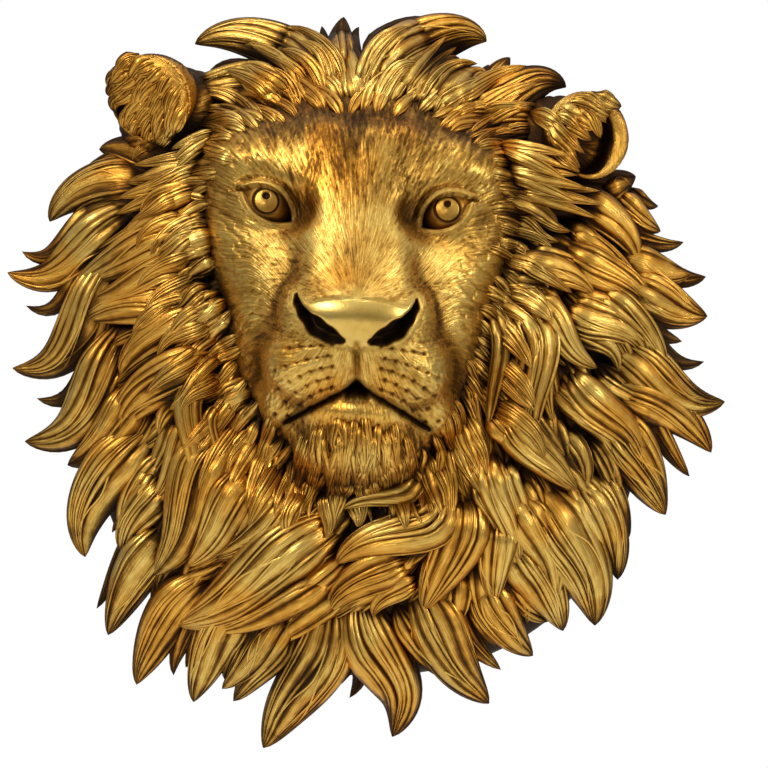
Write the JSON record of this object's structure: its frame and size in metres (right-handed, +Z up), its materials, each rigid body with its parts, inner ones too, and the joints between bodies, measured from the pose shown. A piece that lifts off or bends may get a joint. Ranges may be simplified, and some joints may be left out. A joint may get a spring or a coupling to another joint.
{
  "type": "lion head wall mask",
  "caption": "High-relief lion head with a flowing mane, cast in brass with a hollow back and a flat rim that lies on the wall.",
  "frame": {"origin": "middle of the wall plane that the rim of the back lies on, behind the middle of the mane", "axes": "+X to the viewer's right, +Z up, +Y into the wall; the lion looks along -Y"},
  "size_m": [0.578, 0.2142, 0.5891],
  "materials": {
    "brass": "polished on the raised hair and features, with a dark brown patina in the grooves"
  },
  "bodies": {
    "root": {"lion_mask": "brass"}
  },
  "joints": []
}
